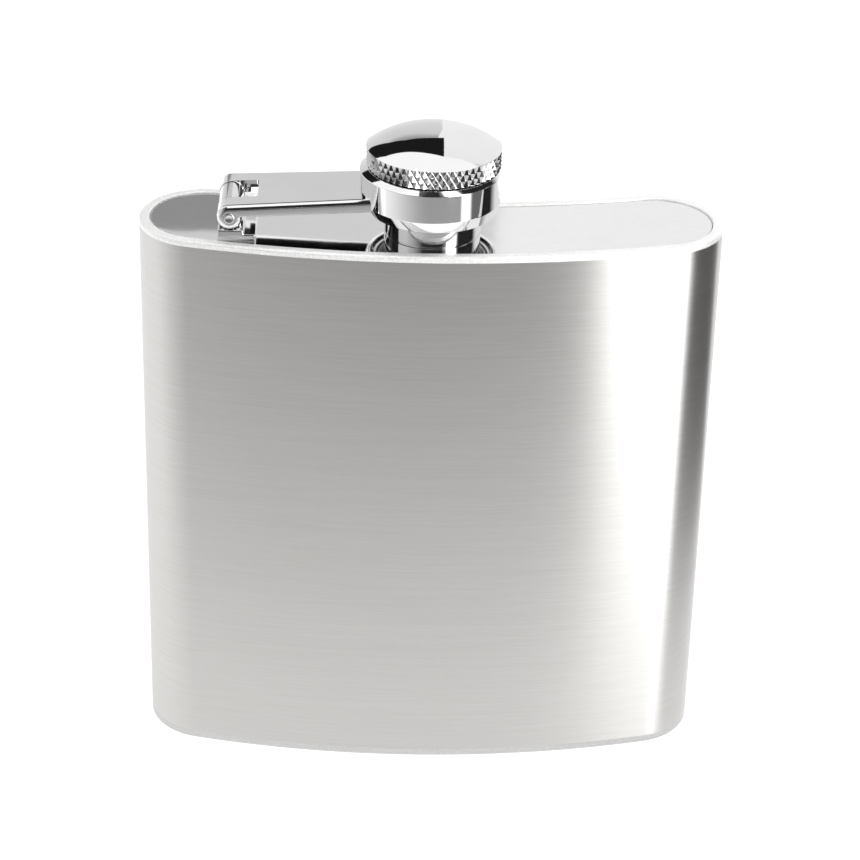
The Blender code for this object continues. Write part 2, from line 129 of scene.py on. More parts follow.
# Hinge; the arm's heights count from the rim's top too.
PIN_X = (PIN[0].x + PIN[1].x) / 2
PIN_Z = (PIN[0].z + PIN[1].z) / 2
PIN_RADIUS = 0.9
EAR_RADIUS = 2.05
KNUCKLE_RADIUS = 1.95
KNUCKLE_WIDTH = 6.1
ARM_HINGE_WIDTH = ARM[1].y - ARM[0].y
ARM_COLLAR_WIDTH = 12.5
ARM_TOP_AT_HINGE = 6.2
ARM_TOP_AT_COLLAR = 7.4
ARM_LOW_AT_COLLAR = 5.15
ARM_COLLAR_X = -9.0
ARM_SHEET = 1.0
ARM_EDGE = 0.85
ARM_LOW_EDGE = 0.3
ARM_WINDOW_WIDTH = 6.5
ARM_WINDOW_END = -28.0
ARM_CHANNEL_START = -29.3


# ---- outlines ------------------------------------------------------------------

def arc(cx, cy, radius, start, stop, steps):
    """Points on an arc, without its last point; angles in radians from +X."""
    turn = (stop - start) / steps
    return [
        (cx + radius * math.cos(start + turn * i), cy + radius * math.sin(start + turn * i))
        for i in range(steps)
    ]


def end_circle():
    """Centre and radius of the end arc that meets both long arcs."""
    front_y = FRONT_RADIUS - BODY_DEPTH / 2
    back_y = BACK_RADIUS + BODY_DEPTH / 2
    low, high = 4.0, BODY_DEPTH
    for _ in range(60):
        radius = (low + high) / 2
        x = BODY_WIDTH / 2 - radius
        y_front = front_y - math.sqrt((FRONT_RADIUS - radius) ** 2 - x * x)
        y_back = back_y - math.sqrt((BACK_RADIUS + radius) ** 2 - x * x)
        if y_front < y_back:
            low = radius
        else:
            high = radius
    return x, y_front, radius


END_X, END_Y, END_RADIUS = end_circle()
MID_Y = (END_Y + END_RADIUS - BODY_DEPTH / 2) / 2
LONG_STEPS = 72
END_STEPS = 56


def section(inset):
    """Kidney-shaped outline of the body, moved in by inset all round."""
    front_y = FRONT_RADIUS - BODY_DEPTH / 2
    back_y = BACK_RADIUS + BODY_DEPTH / 2
    front_half = math.atan2(END_X, front_y - END_Y)
    back_half = math.atan2(END_X, back_y - END_Y)
    down = -math.pi / 2
    end = END_RADIUS - inset
    points = arc(0, front_y, FRONT_RADIUS - inset, down - front_half, down + front_half, LONG_STEPS)
    points += arc(END_X, END_Y, end, down + front_half, math.pi / 2 + back_half, END_STEPS)
    points += arc(0, back_y, BACK_RADIUS + inset, down + back_half, down - back_half, LONG_STEPS)
    points += arc(-END_X, END_Y, end, math.pi / 2 - back_half, 1.5 * math.pi - front_half, END_STEPS)
    return [(x, y - MID_Y) for x, y in points]


def rounded(corners, steps=5, closed=True):
    """Outline whose corners, given as (u, v, radius), are replaced by arcs."""
    points = []
    count = len(corners)
    for i, (u, v, radius) in enumerate(corners):
        here = Vector((u, v))
        if radius <= 0 or (not closed and i in (0, count - 1)):
            points.append((u, v))
            continue
        before = Vector(corners[i - 1][:2]) - here
        after = Vector(corners[(i + 1) % count][:2]) - here
        half = before.angle(after) / 2
        reach = min(radius / math.tan(half), before.length * 0.49, after.length * 0.49)
        radius = reach * math.tan(half)
        middle = (before.normalized() + after.normalized()).normalized()
        centre = here + middle * radius / math.sin(half)
        first = here + before.normalized() * reach - centre
        last = here + after.normalized() * reach - centre
        for k in range(steps + 1):
            spoke = first.lerp(last, k / steps).normalized()
            points.append(tuple(centre + spoke * radius))
    return points


# ---- meshes --------------------------------------------------------------------

def new_object(name, bm, smooth=True):
    """Object from a bmesh in millimetres, with its faces turned outwards."""
    bmesh.ops.recalc_face_normals(bm, faces=bm.faces)
    bm.transform(Matrix.Scale(MM, 4))
    mesh = bpy.data.meshes.new(name)
    bm.to_mesh(mesh)
    bm.free()
    obj = bpy.data.objects.new(name, mesh)
    bpy.context.scene.collection.objects.link(obj)
    if smooth:
        mesh.shade_smooth()
    return obj


def skin(bm, loops, cyclic=True):
    """Faces between successive closed loops of points; cyclic joins the last loop to the first."""
    rings = [[bm.verts.new(p) for p in loop] for loop in loops]
    pairs = list(zip(rings, rings[1:]))
    if cyclic:
        pairs.append((rings[-1], rings[0]))
    for low, high in pairs:
        count = len(low)
        for k in range(count):
            n = (k + 1) % count
            bm.faces.new((low[k], low[n], high[n], high[k]))
    return rings


def solid_skin(bm, loops):
    """Skin from the first loop to the last, each of which gets an end face."""
    rings = skin(bm, loops, cyclic=False)
    bm.faces.new(rings[0])
    bm.faces.new(rings[-1])


def close_to_pole(bm, ring, place):
    """Triangles from a ring of vertices to one new vertex."""
    pole = bm.verts.new(place)
    for k, vertex in enumerate(ring):
        bm.faces.new((vertex, ring[(k + 1) % len(ring)], pole))


def swept_section(name, profile):
    """Closed (inset, height) profile carried round the body's section."""
    bm = bmesh.new()
    skin(bm, [[(x, y, z) for x, y in section(inset)] for inset, z in profile])
    return new_object(name, bm)


def turned(name, profile, steps, shift=None):
    """(radius, height above the rim) profile turned about the neck's axis.

    A profile that starts and ends on the axis is closed by two poles; any other is a ring.
    shift gives the sideways offset of a ring of the profile from its radius and height.
    """
    bm = bmesh.new()
    poles = [(radius, z) for radius, z in (profile[0], profile[-1]) if radius == 0]
    loops = []
    for radius, z in profile:
        if radius > 0:
            centre = shift(radius, z) if shift else 0.0
            ring = arc(centre, AXIS_Y, radius, 0, FULL_TURN, steps)
            loops.append([(x, y, TOP + z) for x, y in ring])
    made = skin(bm, loops, cyclic=not poles)
    for (_, z), ring in zip(poles, (made[0], made[-1])):
        close_to_pole(bm, ring, (0, AXIS_Y, TOP + z))
    return new_object(name, bm)


def extruded(name, outline, low, high, upright=True):
    """Closed outline given a thickness: in XZ along Y when upright, else in XY along Z."""
    bm = bmesh.new()
    if upright:
        loops = [[(u, w, v) for u, v in outline] for w in (low, high)]
    else:
        loops = [[(u, v, w) for u, v in outline] for w in (low, high)]
    solid_skin(bm, loops)
    return new_object(name, bm, smooth=False)


def rod(name, profile, centre, steps=48):
    """(radius, distance) profile turned about an axis along Y, with a pole at each end."""
    bm = bmesh.new()
    loops = []
    for radius, along in profile[1:-1]:
        ring = arc(centre[0], centre[1], radius, 0, FULL_TURN, steps)
        loops.append([(x, along, z) for x, z in ring])
    made = skin(bm, loops, cyclic=False)
    for (_, along), ring in zip((profile[0], profile[-1]), (made[0], made[-1])):
        close_to_pole(bm, ring, (centre[0], along, centre[1]))
    return new_object(name, bm)


def apply_modifiers(obj):
    """Make the evaluated mesh the object's own."""
    bpy.context.view_layer.update()
    evaluated = obj.evaluated_get(bpy.context.evaluated_depsgraph_get())
    mesh = bpy.data.meshes.new_from_object(evaluated)
    obj.modifiers.clear()
    obj.data = mesh
    return obj


def cut(obj, cutter, operation="DIFFERENCE"):
    """Boolean that is applied at once and uses up its cutter."""
    mod = obj.modifiers.new("cut", "BOOLEAN")
    mod.operation = operation
    mod.solver = "EXACT"
    mod.object = cutter
    apply_modifiers(obj)
    bpy.data.objects.remove(cutter, do_unlink=True)
    return obj


def bevelled(obj, width):
    """Round the sharp edges and apply."""
    bevel = obj.modifiers.new("bevel", "BEVEL")
    bevel.limit_method = "ANGLE"
    bevel.angle_limit = math.radians(35)
    bevel.width = width * MM
    bevel.segments = 3
    bevel.profile = 0.5
    return apply_modifiers(obj)


def finish_shading(obj, degrees=32):
    """Smooth shading that leaves flats flat and corners crisp."""
    obj.data.shade_smooth()
    obj.data.set_sharp_from_angle(angle=math.radians(degrees))
    weighted = obj.modifiers.new("weighted", "WEIGHTED_NORMAL")
    weighted.keep_sharp = True
    weighted.weight = 100
    return obj


def helix_ridge(name, radius, start, height, half_width, sign):
    """Rounded thread ridge that runs out into its wall at both ends.

    sign is +1 for a ridge that stands outwards and -1 for one that stands inwards.
    """
    per_turn, around, run_out_steps = 72, 10, 9
    thinnest = 0.02
    buried = -0.6
    count = int(per_turn * THREAD_TURNS)
    bm = bmesh.new()
    loops = []
    for i in range(count + 1):
        a = FULL_TURN * i / per_turn
        run_out = min(1.0, min(i, count - i) / run_out_steps)
        swell = max(thinnest, math.sin(run_out * math.pi / 2))
        z = TOP + start + THREAD_PITCH * i / per_turn
        loop = []
        for k in range(around):
            b = FULL_TURN * k / around
            r = radius + sign * height * swell * max(math.cos(b), buried)
            dz = half_width * swell * math.sin(b)
            loop.append((r * math.cos(a), AXIS_Y + r * math.sin(a), z + dz))
        loops.append(loop)
    solid_skin(bm, loops)
    return new_object(name, bm)


def joined(name, parts):
    """One object from several that touch or overlap and are of one piece."""
    bm = bmesh.new()
    for part in parts:
        bm.from_mesh(part.data)
        bpy.data.objects.remove(part, do_unlink=True)
    mesh = bpy.data.meshes.new(name)
    bm.to_mesh(mesh)
    bm.free()
    obj = bpy.data.objects.new(name, mesh)
    bpy.context.scene.collection.objects.link(obj)
    return obj


# ---- materials -----------------------------------------------------------------

def math_node(tree, operation, a, b=0.0):
    """Math node on two sockets or numbers."""
    node = tree.nodes.new("ShaderNodeMath")
    node.operation = operation
    for socket, value in zip(node.inputs, (a, b)):
        if isinstance(value, (int, float)):
            socket.default_value = value
        else:
            tree.links.new(value, socket)
    return node.outputs["Value"]


class Nodes:
    """A material's node tree with short calls for the nodes used here."""

    def __init__(self, name, colour, roughness, metallic=1.0):
        self.material = bpy.data.materials.new(name)
        self.material.use_nodes = True
        self.tree = self.material.node_tree
        self.shader = self.tree.nodes["Principled BSDF"]
        self.shader.inputs["Base Color"].default_value = (*colour, 1.0)
        self.shader.inputs["Roughness"].default_value = roughness
        self.shader.inputs["Metallic"].default_value = metallic
        self.place = self.tree.nodes.new("ShaderNodeTexCoord").outputs["Object"]

    def link(self, source, target):
        self.tree.links.new(source, target)

    def noise(self, scale, detail=3.0, stretch=(1, 1, 1), roughness=0.55):
        """Noise value; stretch multiplies the coordinates and so squeezes the grain."""
        mapping = self.tree.nodes.new("ShaderNodeMapping")
        mapping.inputs["Scale"].default_value = stretch
        self.link(self.place, mapping.inputs["Vector"])
        node = self.tree.nodes.new("ShaderNodeTexNoise")
        node.inputs["Scale"].default_value = scale
        node.inputs["Detail"].default_value = detail
        node.inputs["Roughness"].default_value = roughness
        self.link(mapping.outputs["Vector"], node.inputs["Vector"])
        return node.outputs["Fac"]

    def axes(self):
        """Object-space X, Y and Z, in metres."""
        split = self.tree.nodes.new("ShaderNodeSeparateXYZ")
        self.link(self.place, split.inputs[0])
        return split.outputs

    def spread(self, value, low, high):
        """Noise value, whose bulk lies between 0.3 and 0.7, rescaled to run from low to high."""
        node = self.tree.nodes.new("ShaderNodeMapRange")
        node.inputs["From Min"].default_value = 0.3
        node.inputs["From Max"].default_value = 0.7
        node.inputs["To Min"].default_value = low
        node.inputs["To Max"].default_value = high
        self.link(value, node.inputs["Value"])
        return node.outputs["Result"]

    def soft(self, value, low, high):
        """Smooth step from 0 at low to 1 at high."""
        node = self.tree.nodes.new("ShaderNodeMapRange")
        node.interpolation_type = "SMOOTHSTEP"
        node.inputs["From Min"].default_value = min(low, high)
        node.inputs["From Max"].default_value = max(low, high)
        node.inputs["To Min"].default_value = 0.0 if low < high else 1.0
        node.inputs["To Max"].default_value = 1.0 if low < high else 0.0
        self.link(value, node.inputs["Value"])
        return node.outputs["Result"]

    def math(self, operation, a, b=0.0):
        return math_node(self.tree, operation, a, b)

    def tint(self, factor, dark, light):
        """Base colour between two colours."""
        node = self.tree.nodes.new("ShaderNodeMix")
        node.data_type = "RGBA"
        node.inputs[6].default_value = (*dark, 1.0)
        node.inputs[7].default_value = (*light, 1.0)
        self.link(factor, node.inputs[0])
        self.link(node.outputs[2], self.shader.inputs["Base Color"])

    def rough(self, value):
        self.link(value, self.shader.inputs["Roughness"])

    def bump(self, height, distance):
        """Half-strength bump whose full height is distance, in metres."""
        node = self.tree.nodes.new("ShaderNodeBump")
        node.inputs["Strength"].default_value = 0.5
        node.inputs["Distance"].default_value = distance
        self.link(height, node.inputs["Height"])
        self.link(node.outputs["Normal"], self.shader.inputs["Normal"])

    def haze(self):
        """Cloudy unevenness of buffed steel."""
        return self.noise(120.0)

    def hairline(self):
        """Fine scratches of buffed steel."""
        return self.noise(1.0, 2.0, (700, 2600, 1500), 0.6)

    def waviness(self):
        """Barely visible waves of buffed steel, as bump."""
        self.bump(self.noise(260.0, 2.0), 0.006 * MM)


def grey(value, warmth=0.0):
    """Neutral colour, warmed or cooled a little."""
    return (value * (1 + warmth), value, value * (1 - 1.6 * warmth))


def brushed_steel(name):
    """Level brushing round the body: long fine grain, and highlights spread upright."""
    m = Nodes(name, grey(0.60), 0.32)
    fine = m.noise(1.0, 3.0, (110, 110, 5200), 0.6)
    broad = m.noise(1.0, 2.0, (30, 30, 1500), 0.5)
    handled = m.noise(14.0, 2.0)
    grain = m.math("ADD", m.spread(fine, 0.0, 0.62), m.spread(broad, 0.0, 0.2))
    grain = m.math("ADD", grain, m.spread(handled, 0.0, 0.18))
    m.tint(grain, grey(0.55, 0.02), grey(0.645, 0.012))
    m.rough(m.math("ADD", m.spread(fine, 0.29, 0.35), m.spread(handled, -0.01, 0.01)))
    m.bump(fine, 0.006 * MM)
    tangent = m.tree.nodes.new("ShaderNodeTangent")
    tangent.direction_type = "RADIAL"
    tangent.axis = "Z"
    m.link(tangent.outputs["Tangent"], m.shader.inputs["Tangent"])
    m.shader.inputs["Anisotropic"].default_value = 0.95
    m.shader.inputs["Anisotropic Rotation"].default_value = 0.25
    return m.material


def ground_steel(name, shade, roughness, grain=0.35, metallic=1.0):
    """Satin steel, ground by hand: even specks of a size in millimetres, and faint passes."""
    m = Nodes(name, grey(shade), roughness, metallic)
    speck = m.noise(1 / (grain * MM))
    passes = m.noise(1.0, 3.0, (90, 90, 1800))
    mottle = m.math("ADD", m.spread(speck, 0, 0.7), m.spread(passes, 0, 0.3))
    m.tint(mottle, grey(shade * 0.84, 0.01), grey(shade * 1.08))
    m.rough(m.spread(speck, roughness - 0.07, roughness + 0.08))
    m.bump(speck, 0.03 * MM)
    return m.material


def polished_steel(name, shade, roughness, warmth=0.0):
    """Mirror polish with the slight unevenness, haze and hairlines of buffing."""
    m = Nodes(name, grey(shade, warmth), roughness)
    haze, hairline = m.haze(), m.hairline()
    buff = m.math("ADD", m.spread(haze, 0, 0.6), m.spread(hairline, 0, 0.4))
    m.tint(buff, grey(shade * 0.965, warmth), grey(shade * 1.02, warmth))
    dull = m.spread(haze, roughness * 0.7, roughness * 1.3)
    m.rough(m.math("ADD", dull, m.spread(hairline, 0.0, 0.012)))
    m.waviness()
    return m.material


def moulded_plastic(name, shade, roughness, warmth):
    """Translucent-white moulding with a fine spark-eroded texture."""
    m = Nodes(name, grey(shade, warmth), roughness, 0.0)
    texture = m.noise(5200.0, 2.0)
    flow = m.noise(90.0, 2.0)
    m.tint(flow, grey(shade * 0.94, warmth * 1.3), grey(shade * 1.03, warmth))
    m.rough(m.spread(texture, roughness - 0.06, roughness + 0.08))
    m.bump(texture, 0.02 * MM)
    m.shader.inputs["Subsurface Weight"].default_value = 0.12
    m.shader.inputs["Subsurface Radius"].default_value = (0.0012, 0.0011, 0.0009)
    return m.material


def add_piece(obj, body, nodes, material):
    """Give a piece its body and its finish, and hide the CAD nodes that it stands for."""
    obj.data.materials.clear()
    obj.data.materials.append(material)
    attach(obj, body)
    if nodes:
        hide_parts(*nodes)
    return obj


# ---- body ----------------------------------------------------------------------

RIM_LOW = RIM[0].z
FOOT_HIGH = FOOT[1].z


def build_wall():
    """The drawn tube, its seam with both weld rims ground away."""
    profile = [(0, FOOT_HIGH), (WALL, FOOT_HIGH), (WALL, RIM_LOW), (0, RIM_LOW)]
    levels = 6
    outer = [(0, RIM_LOW + (FOOT_HIGH - RIM_LOW) * i / levels) for i in range(1, levels)]
    obj = swept_section("body_wall", profile + outer)
    finish_shading(obj)
    add_piece(obj, "flask", ["body_shell"], brushed_steel("brushed_wall_steel"))


def build_top_rim():
    """Rounded weld rim round the mirror plate."""
    inner_lean = 0.04
    inner_depth = 0.5
    profile = rounded([
        (0, RIM_LOW, 0),
        (0, TOP, RIM_ROUND),
        (RIM_WIDTH, TOP, RIM_LIP),
        (RIM_WIDTH + inner_lean, PLATE_TOP - inner_depth, 0),
        (WALL, RIM_LOW, 0),
    ], 7)
    obj = swept_section("top_rim", profile)
    finish_shading(obj)
    # Painted light: the rim's pale, partly matt tone is lighter than the same weld steel at the
    # foot; its satin roughness is real.
    finish = ground_steel("ground_rim_steel_painted_light", 0.93, 0.45, metallic=0.45)
    add_piece(obj, "flask", ["top_rim_weld"], finish)


def build_foot_rim():
    """Rounded weld rim that the flask stands on."""
    inner_height = 0.7
    inner_round = 0.3
    profile = rounded([
        (0, FOOT_HIGH, 0),
        (WALL, FOOT_HIGH, 0),
        (FOOT_RIM_WIDTH, inner_height, inner_round),
        (FOOT_RIM_WIDTH, 0, inner_round),
        (0, 0, FOOT_ROUND),
    ], 7)
    obj = swept_section("foot_rim", profile)
    finish_shading(obj)
    finish = ground_steel("ground_foot_steel", 0.54, 0.34)
    add_piece(obj, "flask", ["bottom_rim_weld"], finish)


def plate_mesh(name, inset, low, high, face_up, hole=0.0):
    """Flat end plate with a rounded edge, pierced by a round hole if it has one."""
    bm = bmesh.new()
    face, back = (high, low) if face_up else (low, high)
    fall = -PLATE_EDGE if face_up else PLATE_EDGE
    levels = [
        (inset, back),
        (inset, face + fall),
        (inset + PLATE_EDGE * 0.35, face + fall * 0.3),
        (inset + PLATE_EDGE, face),
    ]
    rings = skin(bm, [[(x, y, z) for x, y in section(i)] for i, z in levels], cyclic=False)
    holes = []
    if hole:
        around = arc(0, AXIS_Y, hole, 0, FULL_TURN, 96)
        holes = skin(bm, [[(x, y, z) for x, y in around] for z in (back, face)], cyclic=False)
    for k, ring in enumerate((rings[0], rings[-1])):
        edges = [bm.edges.get((ring[i], ring[i - 1])) for i in range(len(ring))]
        if hole:
            inner = holes[k]
            edges += [bm.edges.get((inner[i], inner[i - 1])) for i in range(len(inner))]
        bmesh.ops.triangle_fill(bm, use_beauty=True, use_dissolve=False, edges=edges)
    return finish_shading(new_object(name, bm))


def build_plates():
    """Mirror-finished top plate, pierced for the neck, and satin base plate."""
    hole = NECK_RADIUS - 0.3
    inset = RIM_WIDTH + PLATE_SEAM
    top = plate_mesh("top_plate_panel", inset, PLATE[0].z, PLATE_TOP, True, hole)
    finish = polished_steel("mirror_plate_steel", 0.86, 0.05)
    add_piece(top, "flask", ["top_plate"], finish)
    low, high = box_mm("bottom_plate")
    base = plate_mesh("base_plate_panel", FOOT_RIM_WIDTH + BASE_SEAM, low.z, high.z, False)
    finish = ground_steel("satin_base_steel", 0.58, 0.33, 0.6)
    add_piece(base, "flask", ["bottom_plate"], finish)


# ---- neck ----------------------------------------------------------------------

def build_neck():
    """Pouring neck: a plain base ring, a seam line, and a rolled thread above it."""
    low = NECK[0].z - TOP
    high = NECK[1].z - TOP
    foot = PLATE_TOP - TOP
    crevice = 0.1
    undercut = 0.12
    tenon = NECK_RADIUS - 0.45
    profile = rounded([
        (NECK_BORE, low, 0.1),
        (tenon, low, 0.1),
        (tenon, foot, 0),
        (NECK_RADIUS - undercut, foot, 0),
        (NECK_RADIUS - undercut, foot + crevice, 0),
        (NECK_RADIUS, foot + 2 * crevice, 0.05),
        (NECK_RADIUS, NECK_BASE_TOP, 0.15),
        (NECK_CORE, NECK_BASE_TOP + 0.5, 0.2),
        (NECK_CORE, high, 0.3),
        (NECK_BORE, high, 0.3),
    ], 4)
    wall = turned("neck_wall", profile, 128)
    ridge = helix_ridge(
        "neck_ridge", NECK_CORE - 0.05, NECK_BASE_TOP + 1.0, height=0.62, half_width=0.62, sign=1
    )
    neck = joined("neck", [wall, ridge])
    finish_shading(neck)
    finish = polished_steel("polished_neck_steel", 0.82, 0.05)
    add_piece(neck, "flask", ["neck_spout"], finish)


# ---- hinge ---------------------------------------------------------------------

def build_post():
    """Hinge post: a foot, a block, and the knuckle that stands up between the arm's ears."""
    low, high = POST
    foot_top = low.z + 1.0
    block_top = TOP + 1.75
    block_right = -30.2
    half = (high.y - low.y) / 2
    outline = [
        (low.x, PLATE_TOP),
        (high.x, PLATE_TOP),
        (high.x, foot_top),
        (block_right, foot_top),
        (block_right, block_top),
        (low.x, block_top),
    ]
    block = extruded("block", outline, AXIS_Y - half, AXIS_Y + half)
    bevelled(block, 0.22)
    root = TOP + 0.6
    knuckle_side = [(PIN_X + KNUCKLE_RADIUS * 0.8, root), (PIN_X + KNUCKLE_RADIUS, PIN_Z)]
    knuckle_side += arc(PIN_X, PIN_Z, KNUCKLE_RADIUS, 0, math.pi, 28)[1:]
    knuckle_side += [(PIN_X - KNUCKLE_RADIUS, PIN_Z), (low.x + 0.25, root)]
    width = KNUCKLE_WIDTH / 2
    knuckle = extruded("knuckle", knuckle_side, AXIS_Y - width, AXIS_Y + width)
    bevelled(knuckle, 0.2)
    cut(block, knuckle, "UNION")
    block.name = "hinge_post_block"
    finish_shading(block)
    finish = polished_steel("polished_post_steel", 0.74, 0.08)
    add_piece(block, "flask", ["hinge_post"], finish)


def build_pin():
    """Riveted pin whose dished heads stand just proud of the ears."""
    low, high = PIN[0].y, PIN[1].y
    head = [(0, 0.10), (0.35, 0.10), (0.55, 0.02), (0.72, 0.0), (0.84, 0.05), (PIN_RADIUS, 0.16)]
    profile = [(r, low + d) for r, d in head] + [(r, high - d) for r, d in reversed(head)]
    pin = rod("hinge_pin_rivet", profile, (PIN_X, PIN_Z))
    finish_shading(pin, 60)
    finish = polished_steel("rivet_steel", 0.66, 0.16)
    add_piece(pin, "arm", ["hinge_pin"], finish)


def arm_top(x):
    """Height of the arm's top, above the rim, on its slope between hinge and collar."""
    rise = ARM_TOP_AT_COLLAR - ARM_TOP_AT_HINGE
    return ARM_TOP_AT_HINGE + rise * (x - PIN_X) / (ARM_COLLAR_X - PIN_X)


def inset_outline(outline, depths):
    """Closed outline in (u, v) with each point moved inwards by its own depth."""
    area = sum(a[0] * b[1] - b[0] * a[1] for a, b in zip(outline, outline[1:] + outline[:1]))
    turn = 1 if area > 0 else -1
    points = []
    for i, depth in enumerate(depths):
        here = Vector(outline[i])
        before = (here - Vector(outline[i - 1])).normalized()
        after = (Vector(outline[(i + 1) % len(outline)]) - here).normalized()
        normals = [Vector((-d.y, d.x)) * turn for d in (before, after)]
        both = normals[0] + normals[1]
        points.append(here + both * (depth / (1 + normals[0].dot(normals[1]))))
    return points


def soft_slab(name, side, edge_sizes, depth, steps=7):
    """Outline of the arm's side given a width that tapers to the collar, with rounded edges.

    edge_sizes has the rounding's reach at each point of the outline, and depth its reach in Y.
    """
    start, end = PIN_X - EAR_RADIUS, ARM_COLLAR_X
    bm = bmesh.new()
    loops = []
    turns = [math.pi / 2 * k / steps for k in range(steps + 1)]
    for sign, angles in ((-1, turns), (1, turns[::-1])):
        for angle in angles:
            loop = []
            inner = inset_outline(side, [size * (1 - math.sin(angle)) for size in edge_sizes])
            for x, z in inner:
                along = (x - start) / (end - start)
                half = (ARM_HINGE_WIDTH + (ARM_COLLAR_WIDTH - ARM_HINGE_WIDTH) * along) / 2
                loop.append((x, AXIS_Y + sign * (half - depth * (1 - math.cos(angle))), z))
            loops.append(loop)
    solid_skin(bm, loops)
    return new_object(name, bm)


def arm_steel():
    """Mirror polish outside; in the channel the steel is duller, as the press left it, and its
    colour is painted near black as the channel's shade.
    """
    m = Nodes("polished_arm_steel", grey(0.84), 0.06)
    haze, hairline = m.haze(), m.hairline()
    x, y, z = m.axes()
    slope = (ARM_TOP_AT_COLLAR - ARM_TOP_AT_HINGE) / (ARM_COLLAR_X - PIN_X)
    top_at_axis = (TOP + ARM_TOP_AT_HINGE - slope * PIN_X) * MM
    below = m.math("SUBTRACT", m.math("ADD", m.math("MULTIPLY", x, slope), top_at_axis), z)
    aside = m.math("ABSOLUTE", m.math("SUBTRACT", y, AXIS_Y * MM))
    flange = (ARM_COLLAR_WIDTH / 2 - ARM_SHEET + 0.1) * MM
    fade = 0.1 * MM
    under_roof = m.soft(below, 0.6 * MM, 0.8 * MM)
    inside = m.math("MULTIPLY", under_roof, m.soft(aside, flange + fade, flange))
    past_window = m.math("GREATER_THAN", x, ARM_CHANNEL_START * MM - fade)
    inside = m.math("MULTIPLY", inside, past_window)
    shine = m.math("ADD", m.spread(haze, 0.93, 0.98), m.spread(hairline, 0.0, 0.02))
    # Painted shade: inside the channel the colour falls to near black; the added roughness there is
    # the real dull finish.
    lit = m.math("SUBTRACT", 1.0, m.math("MULTIPLY", inside, 0.97))
    m.tint(m.math("MULTIPLY", shine, lit), grey(0.05), grey(0.86))
    m.rough(m.math("ADD", m.spread(haze, 0.042, 0.078), m.math("MULTIPLY", inside, 0.3)))
    m.waviness()
    return m.material


def build_arm():
    """Pressed arm: a channel whose side flanges end in round ears at the pin."""
    ear = arc(PIN_X, PIN_Z, EAR_RADIUS, math.radians(93), math.radians(368), 52)
    side = [(ARM_COLLAR_X, TOP + ARM_LOW_AT_COLLAR), (ARM_COLLAR_X, TOP + ARM_TOP_AT_COLLAR)]
    side += ear
    sizes = [ARM_LOW_EDGE, ARM_EDGE] + [ARM_EDGE] * (len(ear) - 1) + [ARM_LOW_EDGE]
    arm = soft_slab("arm", side, sizes, ARM_EDGE)
    # Every cutter runs well past the arm on its open sides.
    below = PIN_Z - 4
    channel_end = ARM_COLLAR_X + 3
    channel = [
        (ARM_CHANNEL_START, below),
        (channel_end, below),
        (channel_end, TOP + arm_top(channel_end) - ARM_SHEET),
        (ARM_CHANNEL_START, TOP + arm_top(ARM_CHANNEL_START) - ARM_SHEET),
    ]
    inner = ARM_COLLAR_WIDTH / 2 - ARM_SHEET - 0.1
    cut(arm, extruded("channel", channel, AXIS_Y - inner, AXIS_Y + inner))
    gap = ARM_WINDOW_WIDTH / 2
    window = rounded([
        (PIN_X - 6, AXIS_Y - gap, 0),
        (ARM_WINDOW_END, AXIS_Y - gap, 0.35),
        (ARM_WINDOW_END, AXIS_Y + gap, 0.35),
        (PIN_X - 6, AXIS_Y + gap, 0),
    ])
    ring = arc(COLLAR_SHIFT, AXIS_Y, COLLAR_RADIUS - 0.12, 0, FULL_TURN, 128)
    for name, outline in (("window", window), ("collar_cut", ring)):
        cut(arm, extruded(name, outline, TOP - 4, TOP + 14, upright=False))
    bore = arc(PIN_X, PIN_Z, PIN_RADIUS + 0.03, 0, FULL_TURN, 48)
    cut(arm, extruded("bore", bore, AXIS_Y - 12, AXIS_Y + 12))
    arm.name = "arm_channel"
    finish_shading(arm)
    add_piece(arm, "arm", ["hinge_arm"], arm_steel())


# ---- collar --------------------------------------------------------------------

def collar_shift(radius, z):
    """The collar's outside is set towards the arm, and its bore is on the axis."""
    low, high = COLLAR[0].z - TOP, COLLAR[1].z - TOP
    if radius < COLLAR_FOOT_RADIUS - 0.2:
        return 0.0
    up = min(1.0, max(0.0, (z - low) / (COLLAR_LOW_EDGE - low)))
    down = min(1.0, max(0.0, (high - z) / (high - COLLAR_HIGH_EDGE)))
    return COLLAR_SHIFT * min(up, down)


def build_collar():
    """Polished ring that the cap turns in, welded to the arm."""
    low = COLLAR[0].z - TOP
    high = COLLAR[1].z - TOP
    profile = rounded([
        (COLLAR_RELIEF, low, 0.1),
        (COLLAR_FOOT_RADIUS, low, 0.12),
        (COLLAR_RADIUS, COLLAR_LOW_EDGE, 0.3),
        (COLLAR_RADIUS, COLLAR_HIGH_EDGE, 0.14),
        (COLLAR_LIP_RADIUS, high, 0.12),
        (COLLAR_BORE, high, 0.1),
        (COLLAR_BORE, COLLAR_LEDGE, 0.05),
        (COLLAR_RELIEF, COLLAR_LEDGE, 0),
    ], 5)
    collar = turned("collar_ring", profile, 160, collar_shift)
    finish_shading(collar, 50)
    finish = polished_steel("polished_collar_steel", 0.86, 0.04)
    add_piece(collar, "arm", ["cap_collar"], finish)


# ---- cap -----------------------------------------------------------------------

def knurl_rows():
    """Rings of the knurl from top to bottom, as (radii round the ring, height).

    Low and high points alternate round each row and from row to row, so the low
    ones join up in two families of crossing grooves with a pyramid between them.
    """
    top = KNURL_TOP - 0.06
    bottom = CROWN_BOTTOM + 0.04
    rows = []
    for j in range(KNURL_ROWS + 1):
        lows = [(i + j) % 2 for i in range(2 * KNURL_DIAMONDS)]
        radii = [CROWN_RADIUS - KNURL_DEPTH * low for low in lows]
        rows.append((radii, top + (bottom - top) * j / KNURL_ROWS))
    return rows


def dome(radius, base, rise, steps):
    """Upper profile of a shallow dome, from near its middle out to its edge."""
    points = []
    for i in range(1, steps + 1):
        t = math.sin(math.pi / 2 * i / steps)
        points.append((radius * t, base + rise * (1 - t ** DOME_FULLNESS)))
    return points


